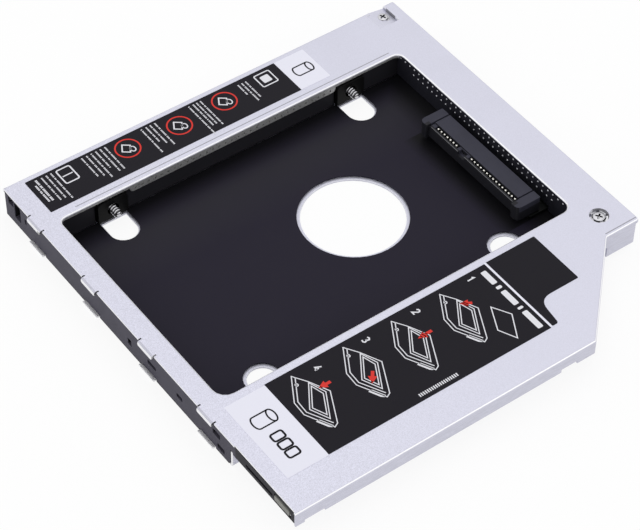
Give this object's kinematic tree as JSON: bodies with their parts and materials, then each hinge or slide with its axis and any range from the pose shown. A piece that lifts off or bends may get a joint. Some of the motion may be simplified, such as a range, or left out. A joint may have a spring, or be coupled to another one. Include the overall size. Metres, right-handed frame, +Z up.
{
  "type": "laptop drive caddy",
  "caption": "Flat sheet metal caddy that fills a laptop's slim optical bay, with an open bay and a receptacle for a 2.5 inch drive.",
  "frame": {"origin": "middle of the outline on the resting plane, under the pan", "axes": "+X towards the thin wing, +Y towards the host plug, +Z up through the bay window"},
  "size_m": [0.128, 0.1262, 0.0095],
  "materials": {
    "silver_sheet": "fine satin silver sheet",
    "frame_grey": "matte dark grey moulding",
    "black_film": "smooth black insulating film",
    "black_moulding": "satin black moulding",
    "connector_grey": "matte dark grey connector moulding",
    "contact_metal": "plated spring contacts",
    "steel": "plated steel screws",
    "board": "circuit board with black solder mask",
    "cap_grey": "mid grey moulding"
  },
  "bodies": {
    "root": {"top_cover": "silver_sheet", "bottom_pan": "silver_sheet", "chassis": "frame_grey", "bay_liner": "black_film", "wing_end_cap": "cap_grey", "front_locating_block": "black_moulding", "rear_locating_block": "black_moulding", "front_locating_screw": "steel", "rear_locating_screw": "steel", "rear_wall_strip": "black_moulding", "drive_receptacle": "connector_grey", "signal_contact_01": "contact_metal", "signal_contact_02": "contact_metal", "signal_contact_03": "contact_metal", "signal_contact_04": "contact_metal", "signal_contact_05": "contact_metal", "signal_contact_06": "contact_metal", "signal_contact_07": "contact_metal", "power_contact_01": "contact_metal", "power_contact_02": "contact_metal", "power_contact_03": "contact_metal", "power_contact_04": "contact_metal", "power_contact_05": "contact_metal", "power_contact_06": "contact_metal", "power_contact_07": "contact_metal", "power_contact_08": "contact_metal", "power_contact_09": "contact_metal", "power_contact_10": "contact_metal", "power_contact_11": "contact_metal", "power_contact_12": "contact_metal", "power_contact_13": "contact_metal", "power_contact_14": "contact_metal", "power_contact_15": "contact_metal", "adapter_board": "board", "left_board_screw": "steel", "right_board_screw": "steel", "host_plug": "black_moulding", "host_signal_contact_1": "contact_metal", "host_signal_contact_2": "contact_metal", "host_signal_contact_3": "contact_metal", "host_signal_contact_4": "contact_metal", "host_signal_contact_5": "contact_metal", "host_signal_contact_6": "contact_metal", "host_signal_contact_7": "contact_metal", "host_power_contact_1": "contact_metal", "host_power_contact_2": "contact_metal", "host_power_contact_3": "contact_metal", "host_power_contact_4": "contact_metal", "host_power_contact_5": "contact_metal", "host_power_contact_6": "contact_metal", "rear_left_screw": "steel", "rear_right_screw": "steel"}
  },
  "joints": []
}
